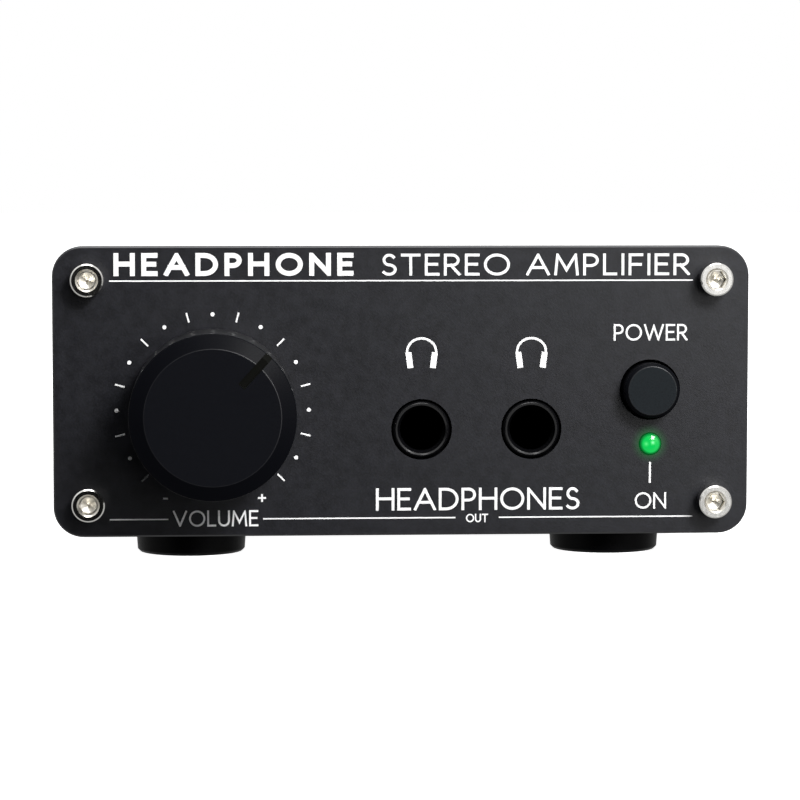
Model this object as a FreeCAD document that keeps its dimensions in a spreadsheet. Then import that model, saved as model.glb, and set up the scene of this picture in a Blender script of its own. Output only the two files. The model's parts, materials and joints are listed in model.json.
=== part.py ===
import FreeCAD, Part
import math
import os
import Sketcher
from FreeCAD import Placement, Rotation, Vector

# Desktop headphone amplifier, in millimetres.
# +Z is up and the front panel faces -Y. The origin lies under the middle of the whole object, on the
# surface that the four feet stand on. Most pieces are drawn from the middle of the front panel's front
# face: x to the right, y back into the case, z up.

DIMENSIONS = {
    # front panel, case and rear panel
    "panel_width": 105.0, "panel_height": 43.7, "panel_thick": 3.0, "panel_corner": 4.5,
    "panel_edge": 0.25, "panel_lift": 3.4, "panel_overhang": 2.0, "shell_depth": 100.0,
    "case_wall": 1.5, "case_corner": 3.0, "rear_thick": 2.0, "rear_edge": 0.2, "rib_reach": 1.5,
    "rib_thick": 1.0, "rib_play": 0.2,
    # M3 socket screws that hold the panels, and their bosses in the case
    "screw_x": 47.2, "screw_z": 16.8, "screw_radius": 1.5, "screw_hole": 1.7, "thread_hole": 1.55,
    "head_radius": 2.48, "head_height": 3.0, "head_edge": 0.2, "hex_radius": 1.44, "hex_depth": 1.6,
    "hex_mouth": 1.7, "hex_point": 1.2, "hex_point_depth": 0.65, "hex_mouth_depth": 0.25,
    "screw_length": 10.0, "boss_radius": 3.0,
    # feet and their screws
    "foot_x": 32.0, "foot_front": 11.7, "foot_rear": 88.3, "foot_top": 8.6, "foot_bottom": 8.25,
    "foot_edge": 0.4, "foot_recess": 3.6, "foot_recess_depth": 2.7, "foot_bore": 1.6,
    "foot_head_height": 1.8, "foot_hex_depth": 1.4, "foot_screw_length": 6.0,
    # volume knob, its set screw and the potentiometer
    "knob_x": -28.56, "knob_z": -2.77, "knob_reach": 16.0, "knob_gap": 1.0, "knob_radius": 12.35,
    "knob_front": 12.25, "knob_face": 10.0, "knob_bevel": 1.0, "knob_round": 0.25,
    "knob_bore": 3.03, "knob_bore_end": 13.2, "knob_recess": 7.5, "knob_recess_end": 5.0,
    "pointer_start": 6.2, "pointer_width": 1.2, "pointer_depth": 0.6, "pointer_angle": 47.5,
    "grub_hole": 1.5, "grub_radius": 1.45, "grub_y": 9.0, "grub_length": 5.0, "grub_hex": 0.87,
    "grub_hex_depth": 1.5, "shaft_radius": 3.0, "shaft_end": 13.0, "shaft_root": 9.8,
    "bushing_bore": 3.05, "bushing_radius": 3.5, "bushing_front": 3.2, "bushing_hole": 3.6,
    "bushing_flange": 5.0, "bushing_flange_thick": 0.8, "pot_width": 17.0, "pot_depth": 9.5,
    "pot_wall": 2.0, "pot_cavity": 7.2, "pot_cavity_depth": 6.0, "pot_socket": 3.55,
    "wiper_radius": 6.2, "wiper_y": 7.4, "wiper_thick": 1.2, "wiper_bore": 3.02,
    "washer_radius": 6.0, "washer_thick": 0.5, "nut_radius": 5.77, "nut_thick": 2.0, "pot_pin": 0.8,
    "pot_pin_pitch": 5.0, "pot_pin_row": 4.0,
    # headphone sockets, 6.35 mm
    "jack_left_x": 2.86, "jack_right_x": 19.49, "jack_z": -5.82, "jack_hole": 4.6,
    "jack_nose": 4.25, "jack_nose_edge": 0.3, "jack_nose_root": 1.0, "jack_bore": 3.2,
    "jack_lip": 3.9, "jack_lip_depth": 0.16, "jack_mouth": 3.65, "jack_mouth_depth": 0.9,
    "jack_bore_end": 13.0, "jack_width": 15.4, "jack_depth": 34.0, "jack_above": 7.0,
    "jack_cavity": 5.6, "jack_cavity_below": 4.1, "jack_cavity_end": 32.5, "leaf_start": 14.0,
    "leaf_width": 3.0, "leaf_thick": 0.4, "leaf_gap": 3.5,
    # power button, its switch and the switch board
    "button_x": 37.52, "button_z": 0.06, "button_hole": 4.6, "button_radius": 4.15,
    "button_face": 3.65, "button_proud": 3.0, "button_bevel": 0.45, "button_round": 0.12,
    "button_back": 6.0, "button_bore": 1.62, "plunger_radius": 1.6, "plunger_front": 1.5,
    "plunger_back": 14.0, "switch_size": 8.5, "switch_front": 9.0, "switch_bore": 1.66,
    "switch_bore_end": 18.0, "switch_board_y": 20.0, "switch_board_width": 16.0,
    "switch_board_top": 7.0, "header_length": 12.7, "header_size": 2.5, "header_pitch": 2.54,
    "header_pin": 0.64, "header_pin_rise": 4.0,
    # indicator lamp
    "led_x": 37.58, "led_z": -8.16, "led_hole": 1.75, "led_radius": 1.6, "led_proud": 1.0,
    "led_shoulder": 0.2, "led_tip": 0.75, "led_tip_proud": 0.9, "led_mid": 1.3,
    "led_mid_proud": 0.65, "led_flange": 2.0, "led_flange_y": 3.2, "led_back": 4.4,
    "lead_radius": 0.25, "lead_hole": 0.3, "lead_pitch": 1.27, "spacer_radius": 2.3,
    # circuit board
    "board_top": -11.9, "board_thick": 1.6, "board_width": 97.4, "board_front": 4.0,
    "board_back": 97.0,
    # rear input sockets
    "rca_left_x": -16.0, "rca_right_x": -30.0, "rca_z": -3.0, "rca_reach": 8.5, "rca_hole": 4.9,
    "rca_shell": 4.15, "rca_collar": 4.6, "rca_shell_bore": 3.4, "rca_core": 3.35,
    "rca_core_bore": 2.15, "rca_pin": 2.1, "rca_pin_bore": 1.6, "rca_seat": 2.0,
    "rca_core_back": 1.0, "rca_pin_back": 1.5, "rca_edge": 0.3, "rca_block_depth": 10.0,
    "rca_block_side": 7.5, "rca_block_above": 9.0,
    # power inlet
    "inlet_x": 35.0, "inlet_z": -5.4, "inlet_hole": 4.0, "inlet_nose": 3.9, "inlet_bore": 3.15,
    "inlet_bore_depth": 12.0, "inlet_pin": 1.05, "inlet_pin_back": 1.0, "inlet_depth": 14.0,
    "inlet_width": 9.0, "inlet_above": 5.5, "inlet_inset": 0.2,
    # parts on the circuit board
    "can_radius": 5.0, "can_height": 16.0, "can_groove": 4.7, "can_groove_z": 2.0,
    "can_groove_height": 1.2, "film_width": 7.2, "film_depth": 3.0, "film_height": 8.0,
    "chip_width": 6.4, "chip_depth": 9.6, "chip_height": 3.4, "relay_width": 10.0,
    "relay_depth": 20.0, "relay_height": 10.0, "sink_x": 12.0, "sink_y": 66.0, "sink_width": 32.0,
    "sink_base": 3.0, "sink_fin_thick": 1.6, "sink_fin_depth": 12.0, "sink_fin_pitch": 5.0,
    "sink_height": 22.0, "regulator_width": 10.0, "regulator_thick": 4.4, "regulator_height": 15.0,
    "regulator_pitch": 11.0, "regulator_z": 4.0, "regulator_leg": 0.8, "regulator_leg_pitch": 2.54,
    "resistor_radius": 1.25, "resistor_length": 6.5, "resistor_wire": 0.3,
    "resistor_leg_inset": 0.6, "resistor_span": 10.0, "resistor_lift": 2.0, "diode_radius": 1.35,
    "diode_length": 5.2,
}

# Places on the circuit board, as (x, y) from the middle of the front panel's front face.
CAPACITOR_PLACES = [(x, y) for y in (38.0, 50.5) for x in (-41.0, -29.0, -17.0)]
SUPPLY_CAPACITOR_PLACES = [(x, 66.0) for x in (-41.0, -29.0, -17.0)]
FILM_CAPACITOR_PLACES = [(x, y) for y in (22.0, 28.0) for x in (-36.0, -26.0)]
CHIP_PLACES = [(-10.0, 24.0), (0.0, 44.0), (16.0, 44.0)]
RESISTOR_PLACES = [(-8.0 + 4.0 * step, 55.0) for step in range(10)]
DIODE_PLACES = [(32.0 + 4.0 * step, 74.0) for step in range(4)]
RELAY_PLACE = (36.0, 40.0)

# Steps from the middle of a row, for things that repeat at a pitch.
POT_PIN_STEPS = (-1, 0, 1)
HEADER_STEPS = (-2, -1, 0, 1, 2)
FIN_STEPS = (-3, -2, -1, 0, 1, 2, 3)
TRANSISTOR_STEPS = (-1, 0, 1)
LEG_STEPS = (-1, 0, 1)


class Size:
    """A length with its value in millimetres and the spreadsheet expression that gives it."""

    def __init__(self, value, text):
        self.value = value
        self.text = text

    def joined(self, other, sign, value):
        return Size(value, f"({self.text} {sign} {size(other).text})")

    def __add__(self, other):
        return self.joined(other, "+", self.value + size(other).value)

    def __sub__(self, other):
        return self.joined(other, "-", self.value - size(other).value)

    def __mul__(self, other):
        return self.joined(other, "*", self.value * size(other).value)

    def __truediv__(self, other):
        return self.joined(other, "/", self.value / size(other).value)

    def __neg__(self):
        return Size(-self.value, f"(-{self.text})")


def size(value):
    """Turn a plain number into a Size, and leave a Size as it is."""
    if isinstance(value, Size):
        return value
    return Size(float(value), repr(float(value)))


class Dimensions:
    """Gives each spreadsheet cell by its alias, such as dim.panel_width."""

    def __getattr__(self, alias):
        return Size(DIMENSIONS[alias], f"dim.{alias}")


dim = Dimensions()
doc = FreeCAD.newDocument("headphone_amplifier")
nodes = {}

FRONT_Y = (dim.knob_reach - dim.shell_depth - dim.rca_reach) / 2
CENTRE_Z = dim.panel_lift + dim.panel_height / 2
CASE_WIDTH = dim.panel_width - dim.panel_overhang * 2
CASE_HEIGHT = dim.panel_height - dim.panel_overhang * 2
CASE_BACK = dim.shell_depth - dim.rear_thick
ALONG_Y = Rotation(Vector(1, 0, 0), -90)
ALONG_MINUS_Y = Rotation(Vector(1, 0, 0), 90)
UPRIGHT = Rotation()
# The way the knob's pointer stands at rest, turned up from level.
POINTER_TURN = Rotation(Vector(0, 1, 0), -dim.pointer_angle.value)


def make_sheet():
    """Write the driving dimensions into the spreadsheet, one named cell each."""
    sheet = doc.addObject("Spreadsheet::Sheet", "dim")
    for row, (alias, value) in enumerate(DIMENSIONS.items(), start=1):
        sheet.set(f"A{row}", alias)
        sheet.set(f"B{row}", str(value))
        sheet.setAlias(f"B{row}", alias)
    doc.recompute()


# ---- small helpers -----------------------------------------------------------------------------

def bind(item, **lengths):
    """Tie properties of an object to spreadsheet expressions."""
    for name, length in lengths.items():
        item.setExpression(name, size(length).text)
    return item


def place(item, x=0, y=0, z=0, turn=UPRIGHT):
    """Put an object at x, y, z from the middle of the front panel's front face."""
    whole = (size(x), FRONT_Y + y, CENTRE_Z + z)
    item.Placement = Placement(Vector(*[length.value for length in whole]), turn)
    for axis, length in zip("xyz", whole):
        item.setExpression(f".Placement.Base.{axis}", length.text)
    return item


def keep(label, item):
    """Make an object a node of the finished part."""
    item.Label = label
    nodes[label] = item
    return item


def block(x, y, z):
    """A box that reaches from x[0] to x[1], y[0] to y[1] and z[0] to z[1]."""
    item = doc.addObject("Part::Box", "block")
    bind(item, Length=size(x[1]) - x[0], Width=size(y[1]) - y[0], Height=size(z[1]) - z[0])
    return place(item, x[0], y[0], z[0])


def rod(radius, length, x, y, z, turn=ALONG_Y):
    item = bind(doc.addObject("Part::Cylinder", "rod"), Radius=radius, Height=length)
    return place(item, x, y, z, turn)


def cone(start_radius, end_radius, length, x, y, z, turn=ALONG_Y):
    item = doc.addObject("Part::Cone", "cone")
    bind(item, Radius1=start_radius, Radius2=end_radius, Height=length)
    return place(item, x, y, z, turn)


def hexagon(radius, length, x, y, z, turn=ALONG_Y):
    item = doc.addObject("Part::Prism", "hexagon")
    item.Polygon = 6
    bind(item, Circumradius=radius, Height=length)
    return place(item, x, y, z, turn)


def fuse(*pieces):
    item = doc.addObject("Part::MultiFuse", "joined")
    item.Shapes = list(pieces)
    item.Refine = True
    return item


def cut(base, *tools):
    item = doc.addObject("Part::Cut", "cut")
    item.Base = base
    item.Tool = tools[0] if len(tools) == 1 else fuse(*tools)
    return item


def group(pieces):
    """Several separate solids that share one node."""
    item = doc.addObject("Part::Compound", "group")
    item.Links = list(pieces)
    return item


def new_body(label, x=0, y=0, z=0):
    return place(doc.addObject("PartDesign::Body", label), x, y, z)


def new_sketch(body, role, name, offset=None):
    """A sketch on one of the body's own origin planes."""
    sketch = body.newObject("Sketcher::SketchObject", name)
    plane = next(item for item in body.Origin.OriginFeatures if item.Role == role)
    sketch.AttachmentSupport = (plane, "")
    sketch.MapMode = "FlatFace"
    if offset is not None:
        sketch.setExpression("AttachmentOffset.Base.z", offset.text)
    return sketch


def hold_point(sketch, geometry, vertex, across, along):
    """Constrain one point of a sketch to its distances from the sketch's origin."""
    for kind, length in (("DistanceX", size(across)), ("DistanceY", size(along))):
        rule = Sketcher.Constraint(kind, -1, 1, geometry, vertex, length.value)
        index = sketch.addConstraint(rule)
        sketch.setExpression(f"Constraints[{index}]", length.text)


def draw_circle(sketch, x, y, radius):
    centre = Vector(size(x).value, size(y).value, 0)
    index = sketch.addGeometry(Part.Circle(centre, Vector(0, 0, 1), size(radius).value))
    hold_point(sketch, index, 3, x, y)
    rule = sketch.addConstraint(Sketcher.Constraint("Radius", index, size(radius).value))
    sketch.setExpression(f"Constraints[{rule}]", size(radius).text)


def draw_outline(sketch, points):
    """A closed outline of straight lines through the given points."""
    corners = [Vector(size(x).value, size(y).value, 0) for x, y in points]
    first = sketch.GeometryCount
    count = len(points)
    for index in range(count):
        sketch.addGeometry(Part.LineSegment(corners[index], corners[(index + 1) % count]))
    for index in range(count):
        following = first + (index + 1) % count
        sketch.addConstraint(Sketcher.Constraint("Coincident", first + index, 2, following, 1))
        hold_point(sketch, first + index, 1, *points[index])


def draw_rectangle(sketch, x, y):
    draw_outline(sketch, [(x[0], y[0]), (x[1], y[0]), (x[1], y[1]), (x[0], y[1])])


def pad(body, sketch, length, inward=True):
    """Add material from a sketch; inward means towards the back of the case."""
    feature = body.newObject("PartDesign::Pad", "pad")
    feature.Profile = sketch
    feature.Reversed = inward
    bind(feature, Length=length)
    doc.recompute()
    return feature


def pocket(body, sketch, length, reverse=False):
    """Remove material from a sketch, and check that some was removed."""
    before = body.Shape.Volume
    feature = body.newObject("PartDesign::Pocket", "pocket")
    feature.Profile = sketch
    feature.Reversed = reverse
    bind(feature, Length=length)
    doc.recompute()
    if body.Shape.Volume >= before:
        raise RuntimeError(f"a pocket in {body.Label} cuts nothing")
    return feature


def edges_where(body, test):
    """Names of the body's edges that pass a test on their ends, in the body's own frame."""
    shape = body.Tip.Shape
    names = []
    for index, edge in enumerate(shape.Edges, start=1):
        if test(edge.Vertexes[0].Point, edge.Vertexes[-1].Point):
            names.append(f"Edge{index}")
    return names


def round_edges(body, radius, test, kind="Fillet"):
    """Round or chamfer the edges that pass the test."""
    base = body.Tip
    names = edges_where(body, test)
    feature = body.newObject(f"PartDesign::{kind}", kind.lower())
    feature.Base = (base, names)
    bind(feature, **{"Radius" if kind == "Fillet" else "Size": radius})
    doc.recompute()
    return feature


def runs_back(start, end):
    """True for an edge along the depth of the case."""
    return abs(start.x - end.x) + abs(start.z - end.z) < 1e-4 and abs(start.y - end.y) > 1e-4


def revolved(label, outline, x, y, z, upright=False):
    """A body turned about Y, or about Z if upright; the outline is (radius, along) points."""
    body = new_body(label, x, y, z)
    sketch = new_sketch(body, "XZ_Plane" if upright else "XY_Plane", "outline")
    draw_outline(sketch, outline)
    feature = body.newObject("PartDesign::Revolution", "turned")
    feature.Profile = sketch
    feature.ReferenceAxis = (sketch, ["V_Axis"])
    feature.Angle = 360
    doc.recompute()
    return body


def turned(label, outline, x, y, z, upright=False):
    """A turned body that is a node by itself."""
    return keep(label, revolved(label, outline, x, y, z, upright))


def tube(outer, inner, start, end):
    """Outline of a plain tube for turned()."""
    return [(inner, start), (outer, start), (outer, end), (inner, end)]


# ---- case and panels ---------------------------------------------------------------------------

SCREW_PLACES = [(dim.screw_x * side, dim.screw_z * level) for side in (-1, 1) for level in (-1, 1)]
FOOT_PLACES = {
    "foot_front_left": (-dim.foot_x, dim.foot_front),
    "foot_front_right": (dim.foot_x, dim.foot_front),
    "foot_rear_left": (-dim.foot_x, dim.foot_rear),
    "foot_rear_right": (dim.foot_x, dim.foot_rear),
}
JACK_PLACES = {"left": dim.jack_left_x, "right": dim.jack_right_x}
RCA_PLACES = {"left": dim.rca_left_x, "right": dim.rca_right_x}


def make_plate(label, width, height, thick, corner, edge, edge_y, y, holes):
    """A flat panel with rounded corners, one softened outer edge and round holes."""
    body = new_body(label, 0, y, 0)
    outline = new_sketch(body, "XZ_Plane", "outline")
    draw_rectangle(outline, (width / -2, width / 2), (height / -2, height / 2))
    pad(body, outline, thick)
    round_edges(body, corner, runs_back)

    def on_outer_face(start, end):
        return abs(start.y - edge_y.value) < 1e-4 and abs(end.y - edge_y.value) < 1e-4

    round_edges(body, edge, on_outer_face, "Chamfer")
    drilling = new_sketch(body, "XZ_Plane", "holes")
    for x, z, radius in holes:
        draw_circle(drilling, x, z, radius)
    pocket(body, drilling, thick)
    keep(label, body)


def make_front_panel():
    holes = [(x, z, dim.screw_hole) for x, z in SCREW_PLACES]
    holes += [(x, dim.jack_z, dim.jack_hole) for x in JACK_PLACES.values()]
    holes.append((dim.knob_x, dim.knob_z, dim.bushing_hole))
    holes.append((dim.button_x, dim.button_z, dim.button_hole))
    holes.append((dim.led_x, dim.led_z, dim.led_hole))
    make_plate("front_panel", dim.panel_width, dim.panel_height, dim.panel_thick, dim.panel_corner,
               dim.panel_edge, size(0), 0, holes)


def make_rear_panel():
    holes = [(x, z, dim.screw_hole) for x, z in SCREW_PLACES]
    holes += [(x, dim.rca_z, dim.rca_hole) for x in RCA_PLACES.values()]
    holes.append((dim.inlet_x, dim.inlet_z, dim.inlet_hole))
    make_plate("rear_panel", CASE_WIDTH, CASE_HEIGHT, dim.rear_thick, dim.case_corner,
               dim.rear_edge, dim.rear_thick, CASE_BACK, holes)


def make_case():
    """One extruded aluminium tube with screw bosses and a pair of rails for the circuit board."""
    length = CASE_BACK - dim.panel_thick
    half_width = CASE_WIDTH / 2
    half_height = CASE_HEIGHT / 2
    inner_width = half_width - dim.case_wall
    inner_height = half_height - dim.case_wall
    body = new_body("case_extrusion", 0, dim.panel_thick, 0)
    outline = new_sketch(body, "XZ_Plane", "outline")
    draw_rectangle(outline, (-half_width, half_width), (-half_height, half_height))
    pad(body, outline, length)
    round_edges(body, dim.case_corner, runs_back)
    inside = new_sketch(body, "XZ_Plane", "inside")
    draw_rectangle(inside, (-inner_width, inner_width), (-inner_height, inner_height))
    pocket(body, inside, length)
    for x, z in SCREW_PLACES:
        boss = new_sketch(body, "XZ_Plane", "boss")
        draw_circle(boss, x, z, dim.boss_radius)
        pad(body, boss, length)
    board_bottom = dim.board_top - dim.board_thick
    upper = dim.board_top + dim.rib_play
    for side in (-1, 1):
        for low, high in ((board_bottom - dim.rib_thick, board_bottom), (upper, upper + dim.rib_thick)):
            rail = new_sketch(body, "XZ_Plane", "rail")
            reach = (inner_width * side, (inner_width - dim.rib_reach) * side)
            draw_rectangle(rail, reach, (low, high))
            pad(body, rail, length)
    threads = new_sketch(body, "XZ_Plane", "threads")
    for x, z in SCREW_PLACES:
        draw_circle(threads, x, z, dim.thread_hole)
    pocket(body, threads, length)
    foot_holes = new_sketch(body, "XY_Plane", "foot_holes", -half_height)
    for x, y in FOOT_PLACES.values():
        draw_circle(foot_holes, x, y - dim.panel_thick, dim.thread_hole)
    pocket(body, foot_holes, dim.case_wall, reverse=True)
    keep("case_extrusion", body)


def socket_screw(head_height, hex_depth, length, x, y, z, turn):
    """A socket-head screw; its head stands on the point x, y, z and points along the turned Z."""
    outward = turn.multVec(Vector(0, 0, 1))

    def beside(distance):
        ahead = [size(distance) * round(part) for part in (outward.x, outward.y, outward.z)]
        return size(x) + ahead[0], size(y) + ahead[1], size(z) + ahead[2]

    radius = dim.head_radius
    edge = dim.head_edge
    straight = head_height - edge
    head = rod(radius, straight, *beside(0), turn)
    rim = cone(radius, radius - edge, edge, *beside(straight), turn)
    shank = rod(dim.screw_radius, length, *beside(-length), turn)
    socket = hexagon(dim.hex_radius, hex_depth, *beside(head_height - hex_depth), turn)
    point_start = beside(head_height - hex_depth - dim.hex_point_depth)
    point = cone(size(0), dim.hex_point, dim.hex_point_depth, *point_start, turn)
    mouth_depth = dim.hex_mouth_depth
    mouth_start = beside(head_height - mouth_depth)
    mouth = cone(dim.hex_radius, dim.hex_mouth, mouth_depth, *mouth_start, turn)
    return cut(fuse(head, rim, shank), socket, point, mouth)


def make_screws():
    proportions = (dim.head_height, dim.hex_depth, dim.screw_length)
    front = [socket_screw(*proportions, x, 0, z, ALONG_MINUS_Y) for x, z in SCREW_PLACES]
    keep("front_panel_screws", group(front))
    rear = [socket_screw(*proportions, x, dim.shell_depth, z, ALONG_Y) for x, z in SCREW_PLACES]
    keep("rear_panel_screws", group(rear))


def make_feet():
    """Four rubber feet, each held by a screw whose head sits up inside the foot."""
    height = dim.panel_lift + dim.panel_overhang
    floor = -CENTRE_Z
    outline = [
        (dim.foot_recess, size(0)),
        (dim.foot_bottom - dim.foot_edge, size(0)),
        (dim.foot_bottom, dim.foot_edge),
        (dim.foot_top, height),
        (dim.foot_bore, height),
        (dim.foot_bore, dim.foot_recess_depth),
        (dim.foot_recess, dim.foot_recess_depth),
    ]
    screws = []
    downward = Rotation(Vector(1, 0, 0), 180)
    for label, (x, y) in FOOT_PLACES.items():
        turned(label, outline, x, y, floor, upright=True)
        screws.append(socket_screw(dim.foot_head_height, dim.foot_hex_depth, dim.foot_screw_length,
                                   x, y, floor + dim.foot_recess_depth, downward))
    keep("foot_screws", group(screws))


# ---- volume control ----------------------------------------------------------------------------

def make_knob():
    """Turned aluminium knob with a bevelled face, a milled pointer groove and a set screw hole."""
    bevel_start = dim.knob_reach - dim.knob_bevel
    outline = [
        (dim.knob_recess, -dim.knob_gap),
        (dim.knob_radius, -dim.knob_gap),
        (dim.knob_front, -bevel_start),
        (dim.knob_face, -dim.knob_reach),
        (size(0), -dim.knob_reach),
        (size(0), -dim.knob_bore_end),
        (dim.knob_bore, -dim.knob_bore_end),
        (dim.knob_bore, -dim.knob_recess_end),
        (dim.knob_recess, -dim.knob_recess_end),
    ]
    body = revolved("knob_blank", outline, dim.knob_x, 0, dim.knob_z)

    def front_rim(start, end):
        radius = math.hypot(start.x, start.z)
        return start.y < -bevel_start.value + 1e-4 and radius > dim.knob_face.value - 1e-4

    round_edges(body, dim.knob_round, front_rim)
    ahead = POINTER_TURN.multVec(Vector(1, 0, 0))
    backward = Rotation(Vector(0, 0, 1), Vector(-ahead.x, 0, -ahead.z))
    hole = rod(dim.grub_hole, dim.knob_radius, dim.knob_x, -dim.grub_y, dim.knob_z, backward)
    keep("volume_knob", cut(body, *pointer_groove(ahead), hole))
    make_set_screw(ahead, backward)


def pointer_groove(ahead):
    """Cutters for a groove with a round inner end, from near the knob's middle out past its edge."""
    aside = POINTER_TURN.multVec(Vector(0, 0, 1))
    half = dim.pointer_width / 2
    start = dim.pointer_start + half
    end_x = dim.knob_x + start * ahead.x
    end_z = dim.knob_z + start * ahead.z
    front = -dim.knob_reach - dim.knob_bevel
    depth = dim.pointer_depth + dim.knob_bevel
    straight = doc.addObject("Part::Box", "groove")
    bind(straight, Length=dim.knob_radius, Width=depth, Height=dim.pointer_width)
    place(straight, end_x - half * aside.x, front, end_z - half * aside.z, POINTER_TURN)
    return straight, rod(half, depth, end_x, front, end_z)


def make_set_screw(ahead, backward):
    """Grips the shaft from the side of the knob opposite its pointer."""
    def behind(distance):
        return dim.knob_x - distance * ahead.x, -dim.grub_y, dim.knob_z - distance * ahead.z

    screw = rod(dim.grub_radius, dim.grub_length, *behind(dim.shaft_radius), backward)
    socket_start = dim.shaft_radius + dim.grub_length - dim.grub_hex_depth
    socket = hexagon(dim.grub_hex, dim.grub_hex_depth, *behind(socket_start), backward)
    keep("knob_set_screw", cut(screw, socket))


def make_potentiometer():
    """Board-mounted rotary potentiometer: housing, threaded bushing, nut, washer, shaft and wiper."""
    x = dim.knob_x
    z = dim.knob_z
    half = dim.pot_width / 2
    back = dim.panel_thick + dim.pot_depth
    cavity_start = dim.panel_thick + dim.pot_wall
    outside = block((x - half, x + half), (dim.panel_thick, back), (z - half, z + half))
    cavity = rod(dim.pot_cavity, dim.pot_cavity_depth, x, cavity_start, z)
    socket = rod(dim.pot_socket, dim.pot_wall, x, dim.panel_thick, z)
    keep("potentiometer_housing", cut(outside, cavity, socket))
    flange_end = cavity_start + dim.bushing_flange_thick
    bushing = [
        (dim.bushing_bore, -dim.bushing_front), (dim.bushing_radius, -dim.bushing_front),
        (dim.bushing_radius, cavity_start), (dim.bushing_flange, cavity_start),
        (dim.bushing_flange, flange_end), (dim.bushing_bore, flange_end),
    ]
    turned("potentiometer_bushing", bushing, x, 0, z)
    turned("potentiometer_washer",
           tube(dim.washer_radius, dim.bushing_hole, -dim.washer_thick, size(0)), x, 0, z)
    nut = hexagon(dim.nut_radius, dim.nut_thick, x, -dim.washer_thick - dim.nut_thick, z)
    thread = rod(dim.bushing_hole, dim.nut_thick, x, -dim.washer_thick - dim.nut_thick, z)
    keep("potentiometer_nut", cut(nut, thread))
    shaft = [(size(0), -dim.shaft_end), (dim.shaft_radius - dim.head_edge, -dim.shaft_end),
             (dim.shaft_radius, dim.head_edge - dim.shaft_end), (dim.shaft_radius, dim.shaft_root),
             (size(0), dim.shaft_root)]
    turned("potentiometer_shaft", shaft, x, 0, z)
    wiper_end = dim.wiper_y + dim.wiper_thick
    turned("potentiometer_wiper", tube(dim.wiper_radius, dim.wiper_bore, dim.wiper_y, wiper_end),
           x, 0, z)
    pins = []
    pin_half = dim.pot_pin / 2
    for step in POT_PIN_STEPS:
        for row in (0, 1):
            pin_x = x + dim.pot_pin_pitch * step
            pin_y = dim.panel_thick + dim.pot_wall + dim.pot_pin_row * row
            pins.append(block((pin_x - pin_half, pin_x + pin_half), (pin_y, pin_y + dim.pot_pin),
                              (dim.board_top, z - half)))
    keep("potentiometer_pins", group(pins))


# ---- headphone sockets -------------------------------------------------------------------------

def make_headphone_jack(side, x):
    """A 6.35 mm socket: one moulding with a round nose, and three leaf contacts in its cavity."""
    z = dim.jack_z
    half = dim.jack_width / 2
    lip_depth = dim.jack_lip_depth
    edge = dim.jack_nose_edge
    nose = rod(dim.jack_nose, dim.panel_thick - edge + dim.jack_nose_root, x, edge, z)
    nose_edge = cone(dim.jack_nose - edge, dim.jack_nose, edge, x, 0, z)
    shell = block((x - half, x + half), (dim.panel_thick, dim.jack_depth),
                  (dim.board_top, z + dim.jack_above))
    bore = rod(dim.jack_bore, dim.jack_bore_end, x, 0, z)
    lip = cone(dim.jack_lip, dim.jack_mouth, lip_depth, x, 0, z)
    lead_in = cone(dim.jack_mouth, dim.jack_bore, dim.jack_mouth_depth, x, lip_depth, z)
    cavity = block((x - dim.jack_cavity, x + dim.jack_cavity), (dim.jack_bore_end, dim.jack_cavity_end),
                   (z - dim.jack_cavity_below, z + dim.jack_cavity))
    keep(f"headphone_jack_{side}", cut(fuse(nose, nose_edge, shell), bore, lip, lead_in, cavity))
    leaf_half = dim.leaf_width / 2
    start = dim.leaf_start
    reach = (dim.jack_cavity_end - start) / 2
    near = dim.leaf_gap
    far = dim.leaf_gap + dim.leaf_thick
    leaves = [
        block((x - leaf_half, x + leaf_half), (start, dim.jack_cavity_end), (z + near, z + far)),
        block((x + near, x + far), (start, start + reach), (z - leaf_half, z + leaf_half)),
        block((x - far, x - near), (start + reach, dim.jack_cavity_end),
              (z - leaf_half, z + leaf_half)),
    ]
    keep(f"jack_contacts_{side}", group(leaves))


# ---- power button and indicator ----------------------------------------------------------------

def make_power_button():
    """Button cap on the plunger of a push-push switch, with the small board behind them."""
    x = dim.button_x
    z = dim.button_z
    cap = [
        (size(0), -dim.button_proud),
        (dim.button_face, -dim.button_proud),
        (dim.button_radius, dim.button_bevel - dim.button_proud),
        (dim.button_radius, dim.button_back),
        (dim.button_bore, dim.button_back),
        (dim.button_bore, dim.plunger_front),
        (size(0), dim.plunger_front),
    ]
    body = turned("power_button_cap", cap, x, 0, z)

    def face_rim(start, end):
        return start.y < dim.button_bevel.value - dim.button_proud.value + 1e-4 and start.x > 1e-4

    round_edges(body, dim.button_round, face_rim)
    keep("power_switch_plunger",
         rod(dim.plunger_radius, dim.plunger_back - dim.plunger_front, x, dim.plunger_front, z))
    half = dim.switch_size / 2
    switch = block((x - half, x + half), (dim.switch_front, dim.switch_board_y), (z - half, z + half))
    bore = rod(dim.switch_bore, dim.switch_bore_end - dim.switch_front, x, dim.switch_front, z)
    keep("power_switch_body", cut(switch, bore))


def make_switch_board():
    x = dim.button_x
    y = dim.switch_board_y
    back = y + dim.board_thick
    half = dim.switch_board_width / 2
    keep("switch_board", block((x - half, x + half), (y, back), (dim.board_top, dim.switch_board_top)))
    strip_half = dim.header_length / 2
    strip_top = dim.board_top + dim.header_size
    strip = block((x - strip_half, x + strip_half), (back, back + dim.header_size),
                  (dim.board_top, strip_top))
    keep("switch_board_header", strip)
    pins = []
    pin_half = dim.header_pin / 2
    for step in HEADER_STEPS:
        pin_x = x + dim.header_pitch * step
        pins.append(block((pin_x - pin_half, pin_x + pin_half), (back, back + dim.header_pin),
                          (strip_top, strip_top + dim.header_pin_rise)))
    keep("switch_board_pins", group(pins))


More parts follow.
